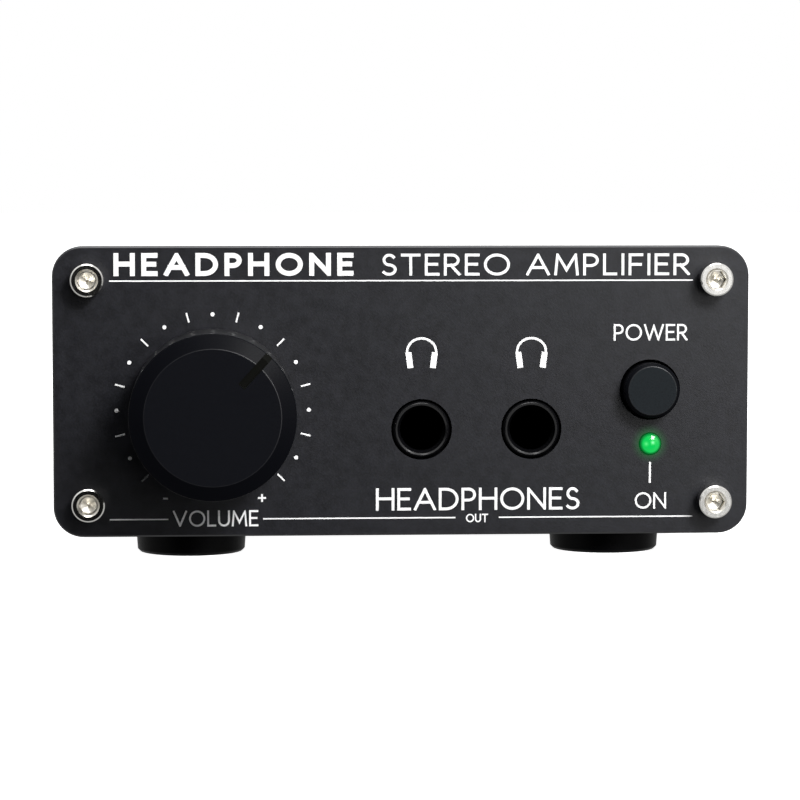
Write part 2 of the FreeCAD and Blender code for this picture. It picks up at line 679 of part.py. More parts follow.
def make_led():
    """A 3 mm indicator lamp with its two leads and the plastic spacer round them."""
    x = dim.led_x
    z = dim.led_z
    lens = [
        (size(0), -dim.led_proud),
        (dim.led_tip, -dim.led_tip_proud),
        (dim.led_mid, -dim.led_mid_proud),
        (dim.led_radius, -dim.led_shoulder),
        (dim.led_radius, dim.led_flange_y),
        (dim.led_flange, dim.led_flange_y),
        (dim.led_flange, dim.led_back),
        (size(0), dim.led_back),
    ]
    turned("power_led", lens, x, 0, z)
    length = dim.switch_board_y - dim.led_back
    sides = [x + dim.lead_pitch * side for side in (-1, 1)]
    keep("led_leads", group([rod(dim.lead_radius, length, side, dim.led_back, z) for side in sides]))
    spacer = rod(dim.spacer_radius, length, x, dim.led_back, z)
    keep("led_spacer", cut(spacer, *[rod(dim.lead_hole, length, side, dim.led_back, z) for side in sides]))


# ---- rear sockets ------------------------------------------------------------------------------

def make_input_sockets():
    """Two phono sockets in one moulded block, each a metal shell, an insulator and a contact."""
    back = CASE_BACK
    front = back - dim.rca_block_depth
    shell_start = back - dim.rca_seat
    end = dim.shell_depth + dim.rca_reach
    z = dim.rca_z
    moulding = block((dim.rca_right_x - dim.rca_block_side, dim.rca_left_x + dim.rca_block_side),
                     (front, back), (dim.board_top, z + dim.rca_block_above))
    sockets = [rod(dim.rca_collar, dim.rca_seat, x, shell_start, z) for x in RCA_PLACES.values()]
    keep("input_socket_block", cut(moulding, *sockets))
    for side, x in RCA_PLACES.items():
        shell = [
            (dim.rca_shell_bore, shell_start), (dim.rca_collar, shell_start),
            (dim.rca_collar, dim.shell_depth), (dim.rca_shell, dim.shell_depth),
            (dim.rca_shell, end - dim.rca_edge), (dim.rca_shell - dim.rca_edge, end),
            (dim.rca_shell_bore + dim.rca_edge / 2, end), (dim.rca_shell_bore, end - dim.rca_edge / 2),
        ]
        turned(f"input_shell_{side}", shell, x, 0, z)
        turned(f"input_insulator_{side}",
               tube(dim.rca_core, dim.rca_core_bore, shell_start, end - dim.rca_core_back), x, 0, z)
        turned(f"input_contact_{side}",
               tube(dim.rca_pin, dim.rca_pin_bore, shell_start, end - dim.rca_pin_back), x, 0, z)


def make_power_inlet():
    """A barrel inlet for the plug of an outside supply, with its centre pin."""
    x = dim.inlet_x
    z = dim.inlet_z
    half = dim.inlet_width / 2
    back = CASE_BACK
    end = dim.shell_depth - dim.inlet_inset
    shell = block((x - half, x + half), (back - dim.inlet_depth, back),
                  (dim.board_top, z + dim.inlet_above))
    nose = rod(dim.inlet_nose, end - back, x, back, z)
    bore_start = end - dim.inlet_bore_depth
    bore = rod(dim.inlet_bore, dim.inlet_bore_depth, x, bore_start, z)
    keep("power_inlet_housing", cut(fuse(shell, nose), bore))
    pin_length = dim.inlet_bore_depth - dim.inlet_pin_back
    keep("power_inlet_pin", rod(dim.inlet_pin, pin_length, x, bore_start, z))


# ---- circuit board and what it carries -----------------------------------------------------------

def make_circuit_board():
    half = dim.board_width / 2
    keep("circuit_board", block((-half, half), (dim.board_front, dim.board_back),
                                (dim.board_top - dim.board_thick, dim.board_top)))


def on_board(shape, places):
    """One copy of a shape, made by shape(x, y), at each place on the circuit board."""
    return group([shape(size(x), size(y)) for x, y in places])


def capacitor_can(x, y):
    """An electrolytic capacitor's can, with the rolled groove near its foot."""
    groove_end = dim.can_groove_z + dim.can_groove_height
    foot = rod(dim.can_radius, dim.can_groove_z, x, y, dim.board_top, UPRIGHT)
    neck = rod(dim.can_groove, dim.can_groove_height, x, y, dim.board_top + dim.can_groove_z, UPRIGHT)
    can = rod(dim.can_radius, dim.can_height - groove_end, x, y, dim.board_top + groove_end, UPRIGHT)
    return fuse(foot, neck, can)


def brick(width, depth, height):
    """Gives shape(x, y) for a plain block that stands on the board."""
    def shape(x, y):
        return block((x - width / 2, x + width / 2), (y - depth / 2, y + depth / 2),
                     (dim.board_top, dim.board_top + height))
    return shape


def leaded(radius, length):
    """Gives shape(x, y) for a small round part on two bent wires."""
    def shape(x, y):
        z = dim.board_top + dim.resistor_lift
        half = dim.resistor_span / 2
        wire = dim.resistor_wire
        body = rod(radius, length, x, y - length / 2, z)
        along = rod(wire, dim.resistor_span, x, y - half, z)
        leg_y = half - dim.resistor_leg_inset
        legs = [rod(wire, dim.resistor_lift, x, y + leg_y * end, dim.board_top, UPRIGHT)
                for end in (-1, 1)]
        return fuse(body, along, *legs)
    return shape


def make_heat_sink():
    """A finned heat sink with three regulators and output transistors standing against it."""
    x = dim.sink_x
    y = dim.sink_y
    z = dim.board_top
    half = dim.sink_width / 2
    fins = [block((x - half, x + half), (y, y + dim.sink_base), (z, z + dim.sink_height))]
    for step in FIN_STEPS:
        fin_x = x + dim.sink_fin_pitch * step
        fins.append(block((fin_x - dim.sink_fin_thick / 2, fin_x + dim.sink_fin_thick / 2),
                          (y + dim.sink_base, y + dim.sink_base + dim.sink_fin_depth),
                          (z, z + dim.sink_height)))
    keep("heat_sink", fuse(*fins))
    bodies = []
    legs = []
    for step in TRANSISTOR_STEPS:
        mid = x + dim.regulator_pitch * step
        base = z + dim.regulator_z
        bodies.append(block((mid - dim.regulator_width / 2, mid + dim.regulator_width / 2),
                            (y - dim.regulator_thick, y), (base, base + dim.regulator_height)))
        for leg in LEG_STEPS:
            leg_x = mid + dim.regulator_leg_pitch * leg
            leg_y = y - dim.regulator_thick / 2
            legs.append(block((leg_x - dim.regulator_leg / 2, leg_x + dim.regulator_leg / 2),
                              (leg_y - dim.regulator_leg / 2, leg_y), (z, base)))
    keep("power_transistors", group(bodies))
    keep("power_transistor_legs", group(legs))


def make_board_parts():
    keep("signal_capacitors", on_board(capacitor_can, CAPACITOR_PLACES))
    keep("supply_capacitors", on_board(capacitor_can, SUPPLY_CAPACITOR_PLACES))
    film = brick(dim.film_width, dim.film_depth, dim.film_height)
    keep("film_capacitors", on_board(film, FILM_CAPACITOR_PLACES))
    chip = brick(dim.chip_width, dim.chip_depth, dim.chip_height)
    keep("op_amp_chips", on_board(chip, CHIP_PLACES))
    relay = brick(dim.relay_width, dim.relay_depth, dim.relay_height)
    keep("output_relay", relay(*[size(part) for part in RELAY_PLACE]))
    resistor = leaded(dim.resistor_radius, dim.resistor_length)
    keep("resistors", on_board(resistor, RESISTOR_PLACES))
    diode = leaded(dim.diode_radius, dim.diode_length)
    keep("rectifier_diodes", on_board(diode, DIODE_PLACES))


# ---- check and write ---------------------------------------------------------------------------

def check():
    for item in doc.Objects:
        if "Invalid" in item.State or "Error" in item.State:
            raise RuntimeError(f"{item.Name} ({item.Label}) failed: {item.State}")
    for label, item in nodes.items():
        if item.Shape.isNull() or not item.Shape.isValid():
            raise RuntimeError(f"{label} has no valid shape")


def write():
    os.makedirs("parts", exist_ok=True)
    for label, item in nodes.items():
        item.Shape.exportStep(f"parts/{label}.step")
    whole = FreeCAD.BoundBox()
    for item in nodes.values():
        whole.add(item.Shape.BoundBox)
    print(len(nodes), "nodes", whole)


make_sheet()
make_front_panel()
make_rear_panel()
make_case()
make_screws()
make_feet()
make_knob()
make_potentiometer()
for jack_side, jack_x in JACK_PLACES.items():
    make_headphone_jack(jack_side, jack_x)
make_power_button()
make_switch_board()
make_led()
make_input_sockets()
make_power_inlet()
make_circuit_board()
make_heat_sink()
make_board_parts()
doc.recompute()
check()
write()
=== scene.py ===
import json
import math
import bmesh
import bpy
from mathutils import Matrix, Vector


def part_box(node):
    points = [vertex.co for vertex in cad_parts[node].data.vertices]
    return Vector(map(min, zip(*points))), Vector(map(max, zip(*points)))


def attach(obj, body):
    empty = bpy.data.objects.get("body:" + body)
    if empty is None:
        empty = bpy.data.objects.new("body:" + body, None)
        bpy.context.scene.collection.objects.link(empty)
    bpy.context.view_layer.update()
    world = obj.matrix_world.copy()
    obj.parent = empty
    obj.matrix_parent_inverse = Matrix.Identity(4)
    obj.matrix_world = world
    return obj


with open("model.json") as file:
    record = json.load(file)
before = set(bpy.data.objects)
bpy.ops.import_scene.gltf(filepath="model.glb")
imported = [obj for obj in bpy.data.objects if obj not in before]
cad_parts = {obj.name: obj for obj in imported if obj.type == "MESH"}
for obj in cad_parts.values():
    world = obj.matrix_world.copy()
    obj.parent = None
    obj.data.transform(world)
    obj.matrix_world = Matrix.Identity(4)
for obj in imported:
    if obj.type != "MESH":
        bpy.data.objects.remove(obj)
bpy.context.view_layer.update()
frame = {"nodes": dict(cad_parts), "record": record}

# ---- places, in metres, read from the frame ----------------------------------------------------
MM = 0.001
panel_low, panel_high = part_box("front_panel")
PANEL_Y = panel_low.y
PANEL_Z = (panel_low.z + panel_high.z) / 2


def middle(node):
    low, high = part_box(node)
    return (low + high) / 2


def on_panel(x, z, ahead=0.0):
    """A point at x, z millimetres from the middle of the panel's front face, and ahead of it."""
    return Vector((x * MM, PANEL_Y - ahead * MM, PANEL_Z + z * MM))


def panel_place(node):
    """Where the middle of a node falls on the panel, in millimetres."""
    centre = middle(node)
    return centre.x / MM, (centre.z - PANEL_Z) / MM


KNOB_X, KNOB_Z = panel_place("volume_knob")
BUTTON_X, BUTTON_Z = panel_place("power_button_cap")
LAMP_X, LAMP_Z = panel_place("power_led")
LEFT_JACK_X = panel_place("headphone_jack_left")[0]
RIGHT_JACK_X = panel_place("headphone_jack_right")[0]

# ---- node materials ----------------------------------------------------------------------------


class Surface:
    """A node material built step by step round one Principled shader."""

    def __init__(self, name, roughness=0.5, metallic=0.0, **inputs):
        self.material = bpy.data.materials.new(name)
        self.material.use_nodes = True
        self.tree = self.material.node_tree
        self.shader = self.tree.nodes["Principled BSDF"]
        self.place = self.new("ShaderNodeNewGeometry").outputs["Position"]
        self.set("Roughness", roughness)
        self.set("Metallic", metallic)
        for key, value in inputs.items():
            self.set(key.replace("_", " "), value)
        self.height = None

    def new(self, kind, **settings):
        node = self.tree.nodes.new(kind)
        for key, value in settings.items():
            setattr(node, key, value)
        return node

    def set(self, key, value):
        self.shader.inputs[key].default_value = value

    def link(self, source, target):
        self.tree.links.new(source, target)

    def math(self, operation, first, second=None, third=None):
        node = self.new("ShaderNodeMath", operation=operation)
        for socket, value in zip(node.inputs, (first, second, third)):
            if value is None:
                continue
            if isinstance(value, (int, float)):
                socket.default_value = value
            else:
                self.link(value, socket)
        return node.outputs[0]

    def stretched(self, scale):
        """The position, in metres, times a scale for each axis."""
        node = self.new("ShaderNodeVectorMath", operation="MULTIPLY")
        self.link(self.place, node.inputs[0])
        node.inputs[1].default_value = scale
        return node.outputs[0]

    def noise(self, scale, detail=2.0, roughness=0.5, stretch=(1, 1, 1)):
        """Noise with about scale grains to the metre."""
        node = self.new("ShaderNodeTexNoise")
        self.link(self.stretched([scale * part for part in stretch]), node.inputs["Vector"])
        node.inputs["Scale"].default_value = 1.0
        node.inputs["Detail"].default_value = detail
        node.inputs["Roughness"].default_value = roughness
        return node.outputs["Fac"]

    def ranged(self, value, low, high, to_low, to_high):
        node = self.new("ShaderNodeMapRange")
        self.link(value, node.inputs["Value"])
        for key, number in zip(("From Min", "From Max", "To Min", "To Max"), (low, high, to_low, to_high)):
            node.inputs[key].default_value = number
        return node.outputs["Result"]

    def blend(self, factor, first, second):
        """A colour between two, each a colour or a socket."""
        node = self.new("ShaderNodeMix", data_type="RGBA")
        self.link(factor, node.inputs["Factor"])
        for socket, value in ((node.inputs[6], first), (node.inputs[7], second)):
            if isinstance(value, (tuple, list)):
                socket.default_value = (*value, 1.0)
            else:
                self.link(value, socket)
        return node.outputs[2]

    def colour(self, source):
        self.link(source, self.shader.inputs["Base Color"])

    def rough(self, source):
        self.link(source, self.shader.inputs["Roughness"])

    def bump(self, height, strength, distance):
        node = self.new("ShaderNodeBump")
        node.inputs["Strength"].default_value = strength
        node.inputs["Distance"].default_value = distance
        self.link(height, node.inputs["Height"])
        if self.height is not None:
            self.link(self.height, node.inputs["Normal"])
        self.height = node.outputs["Normal"]
        self.link(self.height, self.shader.inputs["Normal"])

    def ride(self):
        """Measure places on the object itself, so that a pattern turns and slides with it."""
        self.place = self.new("ShaderNodeTexCoord").outputs["Object"]

    def along(self, point, direction):
        """Distance in metres past a point in a direction."""
        offset = self.new("ShaderNodeVectorMath", operation="SUBTRACT")
        self.link(self.place, offset.inputs[0])
        offset.inputs[1].default_value = point
        node = self.new("ShaderNodeVectorMath", operation="DOT_PRODUCT")
        self.link(offset.outputs[0], node.inputs[0])
        node.inputs[1].default_value = direction
        return node.outputs["Value"]

    def away_from(self, point):
        """Distance in metres from the line along Y through a point."""
        squares = [self.math("POWER", self.along(point, axis), 2.0) for axis in ((1, 0, 0), (0, 0, 1))]
        return self.math("SQRT", self.math("ADD", *squares))

    def facing(self):
        """How squarely the surface faces forward or back: 1 on the panel's face, 0 on its sides."""
        split = self.new("ShaderNodeSeparateXYZ")
        self.link(self.new("ShaderNodeNewGeometry").outputs["Normal"], split.inputs[0])
        return self.math("ABSOLUTE", split.outputs["Y"])

    def near(self, value, centre, reach):
        """1 where a value is at centre, falling to 0 at reach on either side of it."""
        gap = self.math("ABSOLUTE", self.math("SUBTRACT", value, centre))
        return self.ranged(gap, 0.0, reach, 1.0, 0.0)


def scaled(colour, factor):
    return tuple(part * factor for part in colour)


def mottled(surface, colour, scale, spread, detail=3.0):
    """Base colour that varies by spread, lighter and darker, in grains of the given scale."""
    grain = surface.ranged(surface.noise(scale, detail), 0.3, 0.7, 0.0, 1.0)
    mixed = surface.blend(grain, scaled(colour, 1 - spread), scaled(colour, 1 + spread))
    surface.colour(mixed)
    return grain


def anodised(name, colour, roughness, gloss):
    """Bead-blasted and dyed aluminium: a fine even grain and faint cloudiness."""
    surface = Surface(name, roughness=roughness, Specular_IOR_Level=gloss)
    fine = surface.noise(3600, 3.0)
    cloud = surface.noise(700, 2.0)
    tone = surface.math("MULTIPLY_ADD", cloud, 0.3, surface.math("MULTIPLY", fine, 0.7))
    surface.colour(surface.blend(surface.ranged(tone, 0.37, 0.63, 0.0, 1.0),
                                 scaled(colour, 0.6), scaled(colour, 1.45)))
    surface.rough(surface.ranged(cloud, 0.3, 0.7, roughness - 0.02, roughness + 0.02))
    surface.bump(fine, 0.6, 0.00002)
    return surface


def panel_material():
    """The front panel's finish, with a glow of the lamp's light painted on it round the lamp."""
    surface = anodised("panel_anodised", PANEL_COLOUR, 0.38, 0.55)
    reach = surface.away_from(on_panel(LAMP_X, LAMP_Z))
    fall = surface.ranged(reach, LAMP_RADIUS, PAINTED_GLOW_REACH, 1.0, 0.0)
    # Painted light: the panel itself glows green round the lamp, fading with distance from it.
    painted_glow = surface.math("MULTIPLY", surface.math("POWER", fall, 2.2), PAINTED_GLOW_STRENGTH)
    surface.set("Emission Color", (*LAMP_COLOUR, 1.0))
    surface.link(painted_glow, surface.shader.inputs["Emission Strength"])
    return surface.material


def case_material():
    """Extruded case: faint draw lines run the length of the profile."""
    surface = anodised("case_anodised", CASE_COLOUR, 0.45, 0.2)
    surface.bump(surface.noise(1500, 2.0, stretch=(1, 0.01, 1)), 0.15, 0.00003)
    return surface.material


def faced(name, colour, gloss, middle_place, edge):
    """A turned piece with a satin face, a slope and flank round it darkened as painted shade, and a fine
    bright edge between.

    Gives the surface, its colour socket and its gloss socket, so that more can be laid over them.
    """
    surface = Surface(name)
    surface.ride()
    squarely = surface.facing()
    face = surface.ranged(squarely, *FACE_SQUARENESS, 0.0, 1.0)
    side = surface.ranged(squarely, *SIDE_SQUARENESS, 1.0, 0.0)
    rim = surface.near(surface.away_from(middle_place), edge * MM, EDGE_REACH)
    grain = surface.ranged(surface.noise(4200, 2.0), 0.3, 0.7, 0.5, 1.5)
    # Painted shade: all but the face takes the darker slope colour, standing in for the shade on the slope
    # and flank.
    tone = surface.blend(surface.math("MULTIPLY", face, grain), SLOPE_SHADE_COLOUR, colour)
    surface.colour(tone)
    shine = surface.math("MULTIPLY_ADD", face, gloss - SLOPE_GLOSS, SLOPE_GLOSS)
    shine = surface.math("MULTIPLY_ADD", side, SIDE_GLOSS, shine)
    shine = surface.math("MULTIPLY_ADD", rim, EDGE_GLOSS, shine)
    surface.link(shine, surface.shader.inputs["Specular IOR Level"])
    surface.rough(surface.math("MULTIPLY_ADD", side, -0.1, 0.4))
    surface.bump(grain, 0.1, 0.00001)
    return surface, tone, shine


def knob_material():
    """Dyed knob with fine turned rings on its face and a plain milled groove for a pointer."""
    centre = on_panel(KNOB_X, KNOB_Z)
    surface, tone, shine = faced("knob_anodised", KNOB_COLOUR, KNOB_GLOSS, centre, KNOB_FACE)
    rings = surface.math("SINE", surface.math("MULTIPLY", surface.away_from(centre), KNOB_RINGS))
    surface.bump(rings, 0.12, 0.000004)
    angle = math.radians(POINTER_ANGLE)
    ahead = surface.along(centre, (math.cos(angle), 0, math.sin(angle)))
    aside = surface.along(centre, (-math.sin(angle), 0, math.cos(angle)))
    beyond = surface.math("GREATER_THAN", ahead, POINTER_START)
    within = surface.math("LESS_THAN", surface.math("ABSOLUTE", aside), POINTER_HALF)
    front = surface.math("GREATER_THAN", surface.facing(), 0.3)
    groove = surface.math("MULTIPLY", surface.math("MULTIPLY", beyond, within), front)
    surface.colour(surface.blend(groove, tone, GROOVE_COLOUR))
    dulled = surface.math("MULTIPLY", shine, surface.ranged(groove, 0.0, 1.0, 1.0, 0.1))
    surface.link(dulled, surface.shader.inputs["Specular IOR Level"])
    return surface.material


def button_material():
    """Moulded cap: a smooth blue-grey face, with its flank painted near black as shade."""
    centre = on_panel(BUTTON_X, BUTTON_Z)
    surface, _, _ = faced("button_cap", BUTTON_COLOUR, BUTTON_GLOSS, centre, BUTTON_FACE)
    return surface.material


def socket_material():
    """Glossy black moulding of the headphone sockets, with its bore painted black and without gloss as
    shade.
    """
    surface = Surface("black_gloss_plastic", roughness=0.2)
    depth = surface.along(on_panel(0, 0), (0, 1, 0))
    unshaded_mouth = surface.ranged(depth, *BORE_SHADE_DEPTHS, 1.0, 0.0)
    # Painted shade: past the mouth the colour and gloss fall to black.
    surface.colour(surface.blend(unshaded_mouth, (0, 0, 0), SOCKET_COLOUR))
    surface.link(surface.math("MULTIPLY", unshaded_mouth, 0.5), surface.shader.inputs["Specular IOR Level"])
    surface.bump(surface.noise(900, 2.0), 0.1, 0.00001)
    return surface.material


def steel_material():
    """Stainless screws: fine turned rings and scratches on each head, and a rougher hexagon painted paler
    as light bounced inside it.
    """
    surface = Surface("stainless_steel", metallic=1.0)
    screw_low, screw_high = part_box("front_panel_screws")
    half_width = (screw_high.x - screw_low.x) / 2 - HEAD_RADIUS
    half_height = (screw_high.z - screw_low.z) / 2 - HEAD_RADIUS
    squares = []
    for axis, half in (((1, 0, 0), half_width), ((0, 0, 1), half_height)):
        distance = surface.math("ABSOLUTE", surface.along(on_panel(0, 0), axis))
        squares.append(surface.math("POWER", surface.math("SUBTRACT", distance, half), 2.0))
    reach = surface.math("SQRT", surface.math("ADD", *squares))
    rings = surface.math("SINE", surface.math("MULTIPLY", reach, HEAD_RINGS))
    scratches = surface.noise(2600, 3.0, stretch=(1, 1, 0.3))
    surface.bump(rings, 0.06, 0.000005)
    surface.bump(scratches, 0.07, 0.00001)
    turned = surface.blend(surface.noise(900, 2.0), scaled(STEEL_COLOUR, 0.9), STEEL_COLOUR)
    # The hexagon is rougher, and its paler colour is painted light standing in for light bounced round the
    # socket.
    broached = surface.ranged(reach, HEX_REACH - EDGE_REACH, HEX_REACH, 1.0, 0.0)
    surface.colour(surface.blend(broached, turned, BROACHED_PAINTED_LIGHT_COLOUR))
    polish = surface.ranged(scratches, 0.3, 0.7, 0.12, 0.2)
    surface.rough(surface.math("MULTIPLY_ADD", broached, BROACHED_ROUGHNESS, polish))
    return surface.material


def metal(name, colour, roughness, grain=3000):
    surface = Surface(name, roughness=roughness, metallic=1.0)
    tone = mottled(surface, colour, grain, 0.12)
    surface.rough(surface.ranged(tone, 0.0, 1.0, roughness * 0.8, roughness * 1.3))
    surface.bump(tone, 0.1, 0.00001)
    return surface.material


def moulded(name, colour, roughness, grain=2500, depth=0.00001, spread=0.12, gloss=0.5):
    """Moulded plastic or rubber with a fine surface grain."""
    surface = Surface(name, roughness=roughness, Specular_IOR_Level=gloss)
    tone = mottled(surface, colour, grain, spread)
    surface.rough(surface.ranged(tone, 0.0, 1.0, roughness * 0.85, roughness * 1.15))
    surface.bump(tone, 0.25, depth)
    return surface.material


def lamp_material():
    """The lit lamp: bright green, dark at the rim of the lens, with two painted highlights."""
    surface = Surface("green_lens", roughness=0.12, Specular_IOR_Level=0.25)
    surface.colour(surface.blend(surface.noise(1800, 1.0), (0.002, 0.06, 0.012), (0.003, 0.09, 0.02)))
    reach = surface.away_from(on_panel(LAMP_X, LAMP_Z))
    core = surface.ranged(reach, CORE_RADIUS, LAMP_RADIUS, LAMP_CORE, LAMP_RIM)
    tint = LAMP_COLOUR
    level = core
    # Painted highlights: whitish spots of extra light laid on the lens.
    for across, up, size, strength in PAINTED_LAMP_HIGHLIGHTS:
        gap = surface.away_from(on_panel(LAMP_X + across, LAMP_Z + up))
        painted_highlight = surface.math("POWER", surface.ranged(gap, 0.0, size * MM, 1.0, 0.0), 2.0)
        painted_highlight = surface.math("MULTIPLY", painted_highlight, strength)
        tint = surface.blend(painted_highlight, tint, PAINTED_HIGHLIGHT_COLOUR)
        level = surface.math("ADD", level, painted_highlight)
    surface.link(tint, surface.shader.inputs["Emission Color"])
    surface.link(level, surface.shader.inputs["Emission Strength"])
    return surface.material


def board_material():
    """Circuit board: green solder mask with paler tracks under it."""
    surface = Surface("board_green", roughness=0.35)
    tracks = surface.new("ShaderNodeTexBrick")
    surface.link(surface.stretched((220, 220, 220)), tracks.inputs["Vector"])
    tracks.inputs["Mortar Size"].default_value = 0.03
    surface.colour(surface.blend(tracks.outputs["Fac"], (0.015, 0.10, 0.04), (0.03, 0.19, 0.08)))
    surface.bump(tracks.outputs["Fac"], 0.3, 0.00003)
    return surface.material


# Base colours, dark because the finishes are.
PANEL_COLOUR = (0.0041, 0.0043, 0.0066)
CASE_COLOUR = (0.0125, 0.0128, 0.0142)
KNOB_COLOUR = (0.0037, 0.004, 0.0056)
# Painted shade: the darker colour given to the knob's and button's slopes and flanks.
SLOPE_SHADE_COLOUR = (0.0023, 0.0025, 0.0036)
GROOVE_COLOUR = (0.005, 0.0051, 0.0044)
BUTTON_COLOUR = (0.0072, 0.0098, 0.012)
SOCKET_COLOUR = (0.0025, 0.0025, 0.003)
STEEL_COLOUR = (0.7, 0.69, 0.66)
# Painted light: the hexagon sockets are paler to stand in for light bounced inside them.
BROACHED_PAINTED_LIGHT_COLOUR = (0.8, 0.77, 0.7)

# The lamp: its light and that of the highlights painted on it, and where the light falls off from its
# middle.
LAMP_COLOUR = (0.006, 1.0, 0.15)
PAINTED_HIGHLIGHT_COLOUR = (0.45, 1.0, 0.6)
# Painted light: this strength, and the glow's reach further down, set the green glow painted on the panel
# round the lamp.
PAINTED_GLOW_STRENGTH = 0.08
LAMP_CORE = 0.56
LAMP_RIM = 0.05
CORE_RADIUS = 1.15 * MM
LAMP_RADIUS = 1.6 * MM
PAINTED_GLOW_REACH = 3.3 * MM
# Highlights painted on the lamp: right and up from its middle and size, in millimetres, and strength.
PAINTED_LAMP_HIGHLIGHTS = [(0.3, 0.25, 0.5, 0.8), (-0.7, 0.05, 0.6, 0.35)]

# Gloss of the knob and button, and how squarely their slopes end and their flanks begin.
KNOB_GLOSS = 0.07
BUTTON_GLOSS = 0.15
EDGE_GLOSS = 0.36
SIDE_GLOSS = 0.3
SLOPE_GLOSS = 0.027
FACE_SQUARENESS = (0.93, 0.985)
SIDE_SQUARENESS = (0.1, 0.4)
EDGE_REACH = 0.1 * MM

# Turned rings, in radians to the metre, and the screws' rougher hexagons.
KNOB_RINGS = 42000.0
HEAD_RINGS = 34000.0
BROACHED_ROUGHNESS = 0.16

# Sizes from the CAD that only the finish needs: radii in millimetres, then lengths in metres.
# The pointer's are a hair larger than its groove, so that the groove's walls are coloured too.
KNOB_FACE = 10.0
BUTTON_FACE = 3.65
POINTER_ANGLE = 47.5
HEX_REACH = 1.75 * MM
HEAD_RADIUS = 2.48 * MM
POINTER_START = 6.15 * MM
POINTER_HALF = 0.62 * MM
# Depths behind the panel's face over which the socket bore fades to painted shade.
BORE_SHADE_DEPTHS = (0.85 * MM, 1.25 * MM)

MATERIALS = {
    "panel_anodised": panel_material(),
    "case_anodised": case_material(),
    "knob_anodised": knob_material(),
    "stainless_steel": steel_material(),
    "nickel": metal("nickel", (0.66, 0.65, 0.62), 0.2),
    "button_cap": button_material(),
    "black_gloss_plastic": socket_material(),
    "black_matte_plastic": moulded("black_matte_plastic", (0.018, 0.018, 0.02), 0.5),
    "white_plastic": moulded("white_plastic", (0.72, 0.71, 0.67), 0.4),
    "rubber": moulded("rubber", (0.0012, 0.0012, 0.0015), 0.4, 3800, 0.00002, gloss=0.06),
    "green_lens": lamp_material(),
    "board_green": board_material(),
    "tinned_wire": metal("tinned_wire", (0.62, 0.62, 0.6), 0.3),
    "spring_bronze": metal("spring_bronze", (0.68, 0.5, 0.22), 0.25),
    "capacitor_sleeve": moulded("capacitor_sleeve", (0.016, 0.018, 0.035), 0.3, 1200),
    "film_box": moulded("film_box", (0.42, 0.04, 0.03), 0.35),
    "relay_box": moulded("relay_box", (0.62, 0.6, 0.5), 0.4),
    "resistor_body": moulded("resistor_body", (0.16, 0.3, 0.42), 0.45),
    "shaft_metal": metal("shaft_metal", (0.6, 0.6, 0.6), 0.32, 4000),
    "ink": moulded("ink", (0.88, 0.88, 0.88), 0.55, 5200, 0.000006, 0.05),
}


def dress_nodes():
    """Give every CAD node the material of its slot in the record."""
    for subpart in frame["record"]["subparts"]:
        material = MATERIALS[subpart["material_slot"]]
        mesh = frame["nodes"][subpart["node"]].data
        mesh.materials.clear()
        mesh.materials.append(material)


# ---- printed markings --------------------------------------------------------------------------
# Letters are drawn as strokes, in a box one unit high. Each is a width and a list of centrelines.

def arc(x, y, across, up, start, end, steps=14):
    """Points on an ellipse from one angle to another, in degrees."""
    angles = [math.radians(start + (end - start) * step / steps) for step in range(steps + 1)]
    return [(x + across * math.cos(angle), y + up * math.sin(angle)) for angle in angles]


def bowl(x, low, high, reach):
    """The round side of a P, R or D: straight out, half an ellipse, straight back."""
    up = (high - low) / 2
    start = max(x, reach - up)
    return [(x, low)] + arc(start, low + up, reach - start, up, -90, 90) + [(x, high)]


LETTERS = {
    "A": (0.88, [[(0, 0), (0.44, 1), (0.88, 0)], [(0.16, 0.34), (0.72, 0.34)]]),
    "D": (0.78, [[(0, 0), (0, 1)], bowl(0, 0, 1, 0.78)]),
    "E": (0.50, [[(0.5, 0), (0, 0), (0, 1), (0.5, 1)], [(0, 0.52), (0.44, 0.52)]]),
    "F": (0.50, [[(0, 0), (0, 1), (0.5, 1)], [(0, 0.5), (0.44, 0.5)]]),
    "H": (0.72, [[(0, 0), (0, 1)], [(0.72, 0), (0.72, 1)], [(0, 0.53), (0.72, 0.53)]]),
    "I": (0.0, [[(0, 0), (0, 1)]]),
    "L": (0.48, [[(0, 1), (0, 0), (0.48, 0)]]),
    "M": (0.92, [[(0, 0), (0.08, 1), (0.46, 0.22), (0.84, 1), (0.92, 0)]]),
    "N": (0.74, [[(0, 0), (0, 1), (0.74, 0), (0.74, 1)]]),
    "O": (0.98, [arc(0.49, 0.5, 0.49, 0.5, 90, 450, 40)]),
    "P": (0.54, [[(0, 0), (0, 1)], bowl(0, 0.44, 1, 0.54)]),
    "R": (0.58, [[(0, 0), (0, 1)], bowl(0, 0.46, 1, 0.54), [(0.24, 0.46), (0.58, 0)]]),
    "S": (0.52, [arc(0.27, 0.745, 0.22, 0.255, 35, 262, 18)
                 + arc(0.26, 0.245, 0.26, 0.245, 80, -145, 18)]),
    "T": (0.70, [[(0, 1), (0.7, 1)], [(0.35, 0), (0.35, 1)]]),
    "U": (0.68, [[(0, 1)] + arc(0.34, 0.34, 0.34, 0.34, 180, 360, 20) + [(0.68, 1)]]),
    "V": (0.84, [[(0, 1), (0.42, 0), (0.84, 1)]]),
    "W": (1.22, [[(0, 1), (0.31, 0), (0.61, 0.92), (0.91, 0), (1.22, 1)]]),
}
# Strokes that cross lie at slightly different heights, so that no two faces coincide.
INK_THICK = 0.03
INK_OVER = 0.002
STROKE_LAYER = 0.0015
LETTER_LAYER = 0.0003


